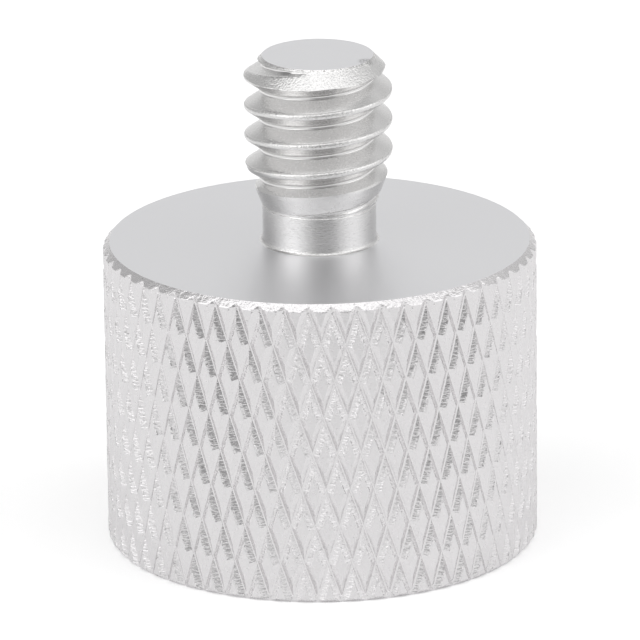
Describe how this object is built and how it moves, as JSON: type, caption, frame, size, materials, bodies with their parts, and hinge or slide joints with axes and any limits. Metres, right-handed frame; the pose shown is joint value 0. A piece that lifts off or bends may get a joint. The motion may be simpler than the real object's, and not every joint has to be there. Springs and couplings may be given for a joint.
{
  "type": "microphone stand thread adapter",
  "caption": "Round knurled aluminium adapter with a threaded stud on top and a blind threaded socket in its underside.",
  "frame": {"origin": "centre of the flat mouth face on which the adapter stands", "axes": "+Z along the thread axis, from the socket's mouth towards the tip of the stud"},
  "size_m": [0.018, 0.018, 0.0207],
  "materials": {
    "satin_aluminium": "satin, clear anodised"
  },
  "bodies": {
    "root": {"thread_adapter": "satin_aluminium"}
  },
  "joints": []
}
